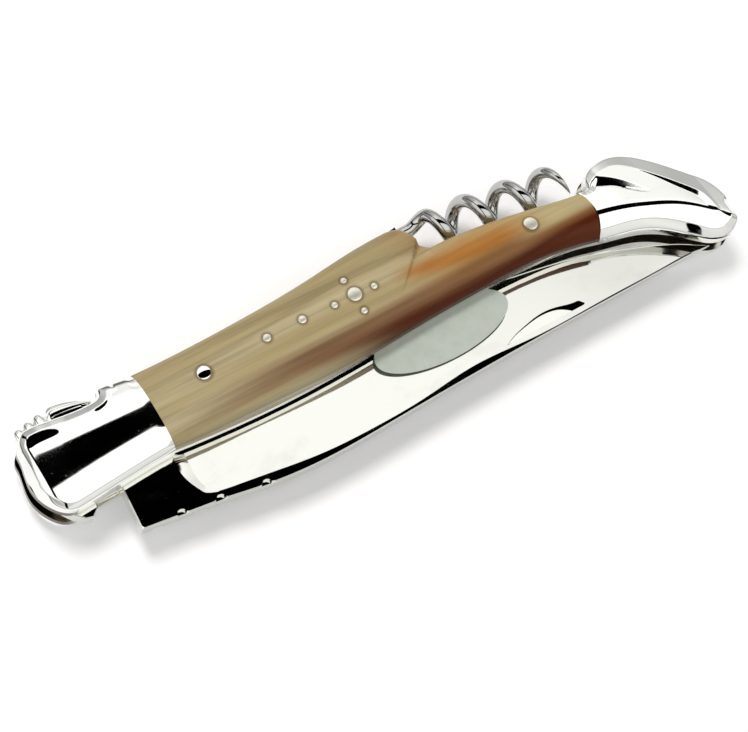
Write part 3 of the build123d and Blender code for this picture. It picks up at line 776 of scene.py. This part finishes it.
def make_blade():
    """Blade: flat strip along the spine, ground bevel with a curved plunge, nail nick and file notches."""
    node = "blade"
    corners = triangles(node)
    tip = span(node, 0)[1]
    places = [PLUNGE + 0.3, -28, -20, -10, 0, 9, 20, 35, 46, 52, 54, 55.1]
    rows = []
    for x in places:
        section = cut(corners, x)
        flat = section[section[:, 1] > section[:, 1].max() - 0.004]
        rows.append((section[:, 0].min(), section[:, 0].max(), flat[:, 0].max(), section[:, 1].max() - MID))
    places.append(tip)
    end = rows[-1][0]
    rows.append((end, end + 0.1, end + 0.05, 0.12))
    spine_line, edge_line, bevel_line, half_line = (spline(places, values) for values in zip(*rows))

    xs = np.concatenate((np.linspace(PLUNGE, 44, 150), np.linspace(44, tip, 60)[1:]))
    tang = [*arc(PIVOT, TANG_R, 62, 235), *TALON, HEEL_SPINE]
    outline = divided(tang, 0.5)
    outline += divided([HEEL_SPINE, (PLUNGE, float(spine_line(PLUNGE)))], 0.4)[1:-1]
    outline += [(x, float(spine_line(x))) for x in xs]
    outline += [(x, float(edge_line(x))) for x in xs[::-1][1:]]
    outline += divided([(PLUNGE, float(edge_line(PLUNGE))), HEEL_EDGE, tang[0]])[1:-1]
    outline = anticlockwise([tuple(p) for p in outline])

    left, right, straight = NICK
    arch = spline([left, *NICK_INNER, right], [straight, *NICK_ARCH, straight])
    wedge = spline([left, 21.7, 25.0, 27.4, 29.0, right], [0.05, 0.25, 0.4, 0.8, 1.5, 1.5])
    plunge_top, plunge_foot = spline(PLUNGE_Y, PLUNGE_TOP), spline(PLUNGE_Y, PLUNGE_FOOT)

    def top(x, y, side):
        """Height of the blade's side above the mid-plane."""
        held = max(x, places[0])
        height = thick = float(half_line(held))
        top_of_bevel = float(bevel_line(held))
        if x > PLUNGE - 4 and y > top_of_bevel:
            low_edge = float(edge_line(max(x, PLUNGE)))
            share = min(1.0, (y - top_of_bevel) / max(low_edge - top_of_bevel, 0.01))
            ground = thick - (thick - EDGE_HALF) * share
            start, foot = float(plunge_top(y)), float(plunge_foot(y))
            height = thick + (ground - thick) * min(1.0, max(0.0, (x - start) / (foot - start)))
        below_arch = float(arch(x)) - y
        if side > 0 and left < x < right and y > straight + 0.01 and below_arch > 0:
            flat = min(below_arch, float(wedge(x)))
            height -= NICK_FLAT * flat + NICK_STEEP * (below_arch - flat)
        for place in NOTCHES[side]:
            if math.dist((x, y), place) < NOTCH_R:
                height = min(height, thick - NOTCH_DEPTH)
        return height

    levels = np.linspace(-11.0, 4.0, 44)
    nick_x = np.linspace(left, right, 60)
    creases = [[(x, float(bevel_line(x))) for x in xs[4:-2]]]
    creases += [[(float(line(y)), y) for y in levels] for line in (plunge_top, plunge_foot)]
    creases += [[(x, straight + gap) for x in nick_x] for gap in (0.0, 0.03)]
    creases.append([(x, float(arch(x))) for x in nick_x[1:-1]])
    facet_edge = [(x, float(arch(x) - wedge(x))) for x in nick_x]
    creases.append([place for place in facet_edge if place[1] > straight + 0.1])
    creases += [arc(place, radius, 0, 360, 12) for side in NOTCHES.values() for place in side
                for radius in (NOTCH_R - 0.02, NOTCH_R + 0.02)]
    rim = inset(outline, CHAMFER)
    creases = [run for line in [*creases, rim + rim[:1]] for run in inside(line, outline, 0.8 * CHAMFER)]
    spots = [(x, y) for x in np.arange(-34, 54, 1.1) for y in np.arange(-14, 4, 1.1)
             if spine_line(x) + 0.5 < y < edge_line(x) - 0.4]
    points, faces = plate(outline, creases, spots, top, CHAMFER * 0.8)
    return piece("blade_body", points, faces, BLADE_STEEL, "blade", [node], 4.6)


def inside(line, outline, margin):
    """The stretches of a line that lie inside an outline and clear of it."""
    closed = [*outline, outline[0]]
    runs, run = [], []
    for place, within_it, gap in zip(line, within(line, outline), gaps_to(closed, line)):
        if within_it and gap > margin:
            run.append(tuple(place))
        elif run:
            runs.append(run)
            run = []
    return [r for r in [*runs, run] if len(r) > 1]


LABEL_RAISED = 0.9      # its lower edge sits this much above the CAD label's
LABEL_GAP = 0.004
LABEL_THICK = 0.045


def make_label():
    """Blank oval label, flat on the blade."""
    node = "blade_label"
    (x0, x1), (y0, y1) = span(node, 0), span(node, 1)
    y0 += LABEL_RAISED
    cx, cy = (x0 + x1) / 2, (y0 + y1) / 2
    foot = span(node, 2)[0] + LABEL_GAP
    rings, around = 14, 96
    points = [(cx + (x1 - cx) * r * math.cos(a), cy + (y1 - cy) * r * math.sin(a), z)
              for z in (foot, foot + LABEL_THICK)
              for r in np.linspace(0, 1, rings) for a in circle(around)]
    half, last = rings * around, (rings - 1) * around
    faces = []
    for j in range(around):
        k = (j + 1) % around
        for i in [*range(0, last, around), *range(half, half + last, around)]:
            faces.append((i + j, i + k, i + around + k, i + around + j))
        faces.append((last + j, last + k, half + last + k, half + last + j))
    return piece("label_oval", points, faces, PAPER, "blade", [node])


# ---- Corkscrew ----

WIRE_R = 1.1
HELIX_R = 3.0
PITCH = 7.27
WORM_TOP = 14.7
WORM_AXIS_Y = 10.4
WORM_SLOPE = math.radians(7.4)
WORM_START, WORM_END = 50, 1220
SHANK_Y = 12.1
SHANK = (9.6, 12.4)
BEND = 1.6              # how far the bend from shank to helix keeps its direction at each end
TAPER = 9.0             # length of the wire's pointed end


def helix_point(degrees):
    """Point on the middle of the wire, this far past the first top."""
    turn = math.radians(degrees)
    axis = np.array((math.cos(WORM_SLOPE), -math.sin(WORM_SLOPE), 0))
    up = np.array((math.sin(WORM_SLOPE), math.cos(WORM_SLOPE), 0))
    side = np.array((0, 0, 1))
    start = np.array((WORM_TOP, WORM_AXIS_Y, MID))
    return start + axis * PITCH * degrees / 360 + HELIX_R * (up * math.cos(turn) + side * math.sin(turn))


def make_worm():
    """Corkscrew wire: a straight shank, a bend, the helix and a tapered point."""
    line = [np.array((x, SHANK_Y, MID)) for x in np.linspace(*SHANK, 8)]
    begin, end = line[-1], helix_point(WORM_START)
    ahead = end - helix_point(WORM_START - 1)
    hold = end - ahead / np.linalg.norm(ahead) * BEND
    for t in np.linspace(0, 1, 20)[1:]:
        line.append((1 - t) ** 3 * begin + 3 * (1 - t) ** 2 * t * (begin + (BEND, 0, 0))
                    + 3 * (1 - t) * t * t * hold + t ** 3 * end)
    line += [helix_point(d) for d in np.arange(WORM_START + 6, WORM_END + 0.1, 6)]
    line = np.array(line)
    ways = np.gradient(line, axis=0)
    ways /= np.linalg.norm(ways, axis=1)[:, None]
    lengths = np.concatenate(([0], np.cumsum(np.linalg.norm(np.diff(line, axis=0), axis=1))))
    sides, around = 36, []
    normal = np.array((0, 0, 1.0))
    for point, way, length in zip(line, ways, lengths):
        normal = normal - way * (normal @ way)
        normal /= np.linalg.norm(normal)
        other = np.cross(way, normal)
        share = np.clip(1 - (lengths[-1] - length) / TAPER, 0, 1)
        radius = WIRE_R * (1 - 0.93 * share ** 1.6)
        around += [point + radius * (math.cos(a) * normal + math.sin(a) * other) for a in circle(sides)]
    return piece("worm_wire", around, tube_faces(len(line), sides), WIRE_STEEL, "corkscrew",
                 ["worm"], 50)


# ---- Pins ----

HEAD_PROUD = 0.12       # height of a pin's head at its middle
HEAD_CROWN = 0.2        # how strongly it is domed
HEAD_ROOT = -1.2        # how far under the surface it goes
ENDS_PROUD = 0.006      # height of a flush end


def place_of(low, high):
    """Middle and radius of a pin with that box, and the sides that it comes out on."""
    sides = (1, -1) if low[2] < MID < high[2] else (1 if low[2] > MID else -1,)
    return (low + high) / 2, (high[0] - low[0]) / 2, sides


def level_at(surface, side, x, y):
    """Height of the made surface on one side of the knife."""
    start = Vector((x, y, MID + side * 20)) * MM
    return surface[side].ray_cast(start, Vector((0, 0, -side)))[0].z / MM


def make_heads(node, surface, material):
    """Domed heads of a CAD node's pins, standing on the surface."""
    points, faces, count = [], [], 40
    dome = [(math.sin(a), HEAD_PROUD + HEAD_CROWN * (math.cos(a) - 1))
            for a in np.linspace(0.02, 0.4 * math.pi, 9)]
    profile = [*dome, (1, dome[-1][1] - 0.08), (1, HEAD_ROOT)]
    for low, high in islands(node):
        place, radius, sides = place_of(low, high)
        for side in sides:
            seat = level_at(surface, side, place[0], place[1])
            faces += [tuple(i + len(points) for i in face) for face in tube_faces(len(profile), count)]
            points += [(place[0] + radius * r * math.cos(t), place[1] + radius * r * math.sin(t),
                        seat + side * h) for r, h in profile for t in circle(count)]
    return piece(node + "_heads", points, faces, material, "handle", [node], 40)


def make_flush_ends(node, surface):
    """Ends of a pin that was ground and polished with the bolsters: only a hair line shows."""
    points, faces, count, rows = [], [], 48, 10
    for low, high in islands(node):
        place, radius, _ = place_of(low, high)
        for side in (1, -1):
            faces += [tuple(i + len(points) for i in face) for face in tube_faces(rows + 1, count)]
            for k in range(rows + 1):
                reach = radius * min(k / (rows - 1), 1.0)
                for t in circle(count):
                    x, y = place[0] + reach * math.cos(t), place[1] + reach * math.sin(t)
                    level = level_at(surface, side, x, y) + side * ENDS_PROUD
                    points.append((x, y, level if k < rows else MID + side * LINER_OUT))
    return piece(node + "_ends", points, faces, STEEL, "handle", [node], 40)


def tree_of(objects):
    """A search tree over some pieces' surfaces."""
    points, polygons = [], []
    for made in objects:
        first = len(points)
        points += [v.co.copy() for v in made.data.vertices]
        polygons += [[first + i for i in p.vertices] for p in made.data.polygons]
    return BVHTree.FromPolygons(points, polygons)


# ---- Ornament ----

BEADS = ((0.0, 0.13, 0.66), (0.13, 0.27, 0.8), (0.27, 0.42, 0.92))     # start, end and size of each
LEAF_START = 0.42


def make_ornament():
    """A plain carved row on the spring's nose: three beads, then a long fluted leaf."""
    node = "spring_ornament"
    (x0, x1), (foot, top) = span(node, 0), span(node, 1)
    half = (span(node, 2)[1] - span(node, 2)[0]) / 2
    rows, sides = 150, 48
    points = []
    for u in np.linspace(0, 1, rows):
        for begin, end, size in BEADS:
            if begin <= u < end:
                round_off = math.sqrt(max(0.0, 1 - (2 * (u - begin) / (end - begin) - 1) ** 2))
                tall, wide = size * (0.55 + 0.45 * round_off), size * (0.6 + 0.4 * round_off)
        if u >= LEAF_START:
            leaf = (u - LEAF_START) / (1 - LEAF_START)
            swell = math.sqrt(max(0.0, 1 - (1 - min(leaf / 0.2, 1)) ** 2)) * (1 - 0.8 * leaf ** 2.2)
            tall, wide = 0.2 + 0.8 * swell, 0.35 + 0.65 * swell
        for t in circle(sides):
            c, s = math.cos(t), math.sin(t)
            flute = 1 - 0.16 * (0.5 + 0.5 * math.cos(6 * t)) if u > LEAF_START else 1
            out = half * wide * math.copysign(abs(c) ** 0.5, c) * flute
            up = max(0.0, s) ** 0.8 * (top - foot) * tall * flute if s > 0 else -0.25 * abs(s) ** 0.5
            points.append((x0 + (x1 - x0) * u, foot + up, MID + out))
    return piece("ornament_carved", points, tube_faces(rows, sides), STEEL, "handle",
                 [node], 38)


# ---- Making everything ----

scales = make_scales()
front_bolsters = make_front_bolsters()
rear_bolsters = make_rear_bolsters()
make_blade()
make_label()
make_worm()
make_ornament()
surface = {side: tree_of(pair) for side, pair in zip((1, -1), zip(scales, front_bolsters, rear_bolsters))}
for node in PIN_NODES:
    make_heads(node, surface, STEEL if "front" in node else PIN_STEEL)
for node in ("blade_pivot_pin", "tail_pin"):
    make_flush_ends(node, surface)

# Nodes that stay as CAD solids, with a material
PLAIN_NODES = {
    "upper_liner": LINER_STEEL,
    "lower_liner": LINER_STEEL,
    "back_spring": SPRING_STEEL,
    "corkscrew_spring": SPRING_STEEL,
    "tail_spacer": SPACER_SHADE,
    "corkscrew_tang": WIRE_STEEL,
}
for node, material in PLAIN_NODES.items():
    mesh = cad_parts[node].data
    mesh.materials.clear()
    mesh.materials.append(material)


# ---- Stage ----

def make_floor():
    """A plain pale table top."""
    shade = Shade("table_top")
    grain = shade.noise((40, 40, 40), detail=3)
    shade.set(Base_Color=shade.ramp(grain, (0.3, (0.90, 0.90, 0.915)), (0.7, (0.92, 0.92, 0.935))),
              Roughness=0.85, Specular_IOR_Level=0.1, Emission_Strength=0.16, Emission_Color=(1, 1, 1, 1))
    work = bmesh.new()
    bmesh.ops.create_grid(work, x_segments=8, y_segments=8, size=6)
    mesh = bpy.data.meshes.new("table_top")
    work.to_mesh(mesh)
    work.free()
    mesh.materials.append(shade.material)
    floor = added("table_top", mesh)


TENT_STRENGTH = 1.3     # as seen in the steel
TENT_SOFT = 1.0         # as it lights the floor and the horn


def make_world():
    """A white tent of light, dimmer at its sides, with one long dark gap overhead and a dark foot.

    x runs to the knife's tail, angle is measured in degrees from overhead to the knife's back.
    """
    world = bpy.data.worlds.new("light_tent")
    bpy.context.scene.world = world
    world.use_nodes = True
    graph = Graph(world.node_tree)
    nodes, links = graph.tree.nodes, graph.tree.links
    nodes.clear()
    times, rise = graph.times, graph.between

    def light(colour):
        node = nodes.new("ShaderNodeBackground")
        node.inputs["Color"].default_value = colour
        return node

    x, y, z = graph.split(nodes.new("ShaderNodeTexCoord").outputs["Generated"])
    angle = times(graph.math("ARCTAN2", y, z), 180 / math.pi)
    along = times(times(rise(angle, -3.5, -2.5), rise(angle, 20.5, 19.5)), rise(x, -0.36, -0.34))
    crossbar = times(rise(x, -0.52, -0.5), rise(x, -0.32, -0.34))
    gap = times(graph.math("MAXIMUM", along, crossbar), rise(z, 0.2, 0.24))
    foot = times(times(rise(z, 0.0, 0.03), rise(z, 0.11, 0.08)), 0.8)
    bright = graph.math("MULTIPLY_ADD", rise(z, 0.2, 0.7), 0.42, 0.6)
    far_side = times(times(rise(x, 0.3, 0.5), rise(angle, 20.0, 30.0)), 0.2)
    bright = graph.math("SUBTRACT", bright, far_side)
    back_side = times(times(rise(angle, 36.0, 44.0), rise(angle, 88.0, 80.0)), rise(x, 0.35, 0.2))
    blade_side = times(rise(angle, -32.0, -42.0), rise(angle, -68.0, -60.0))
    low_sides = times(graph.math("ADD", back_side, blade_side), 0.45)
    for dark in (low_sides, graph.math("MAXIMUM", gap, foot)):
        bright = times(bright, graph.math("SUBTRACT", 1.0, dark))
    rays = nodes.new("ShaderNodeLightPath").outputs
    strength = graph.math("MULTIPLY_ADD", rays["Is Glossy Ray"], TENT_STRENGTH - TENT_SOFT, TENT_SOFT)
    tent, plain = light((1.0, 0.995, 0.98, 1)), light((1.0, 1.0, 1.0, 1))
    graph.feed(tent.inputs["Strength"], times(bright, strength))
    mix = nodes.new("ShaderNodeMixShader")
    for socket, output in zip(mix.inputs, (rays["Is Camera Ray"], tent.outputs[0], plain.outputs[0])):
        links.new(output, socket)
    links.new(mix.outputs[0], nodes.new("ShaderNodeOutputWorld").inputs["Surface"])


LAMP_PLACE = (-0.16, 0.36, 1.05)        # in metres
LAMP_SIZE = 0.35
LAMP_POWER = 6.0


def make_lamp():
    """A soft lamp at the back left, which throws the shadow to the blade's side."""
    light = bpy.data.lights.new("soft_lamp", "AREA")
    light.shape, light.size, light.energy = "DISK", LAMP_SIZE, LAMP_POWER
    light.color = (1.0, 0.98, 0.95)
    lamp = added("soft_lamp", light)
    lamp.location = LAMP_PLACE
    lamp.rotation_euler = (-Vector(LAMP_PLACE)).to_track_quat("-Z", "Y").to_euler()
    lamp.visible_glossy = False


CAMERA_TURNS = (-56.84, 66.56, 26.85)   # azimuth, elevation and roll, in degrees
CAMERA_TARGET = (-4.317, -4.726)
CAMERA_DISTANCE = 0.4                   # in metres
CAMERA_LENS = 124.86


def make_camera():
    """Camera above the blade's side, turned so that the knife lies across the picture."""
    azimuth, elevation, roll = (math.radians(turn) for turn in CAMERA_TURNS)
    target = Vector((*CAMERA_TARGET, MID)) * MM
    back = Vector((math.sin(azimuth) * math.cos(elevation), -math.cos(azimuth) * math.cos(elevation),
                   math.sin(elevation)))
    right = Vector((math.cos(azimuth), math.sin(azimuth), 0))
    up = back.cross(right)
    sideways = right * math.cos(roll) + up * math.sin(roll)
    above = up * math.cos(roll) - right * math.sin(roll)
    lens = bpy.data.cameras.new("camera")
    lens.sensor_width, lens.lens = 36, CAMERA_LENS
    lens.clip_start, lens.clip_end = 0.01, 20
    camera = added("camera", lens)
    turn = Matrix((sideways, above, back)).transposed().to_4x4()
    camera.matrix_world = Matrix.Translation(target + back * CAMERA_DISTANCE) @ turn
    bpy.context.scene.camera = camera


make_floor()
make_world()
make_lamp()
make_camera()
bpy.context.scene.view_settings.view_transform = "Standard"
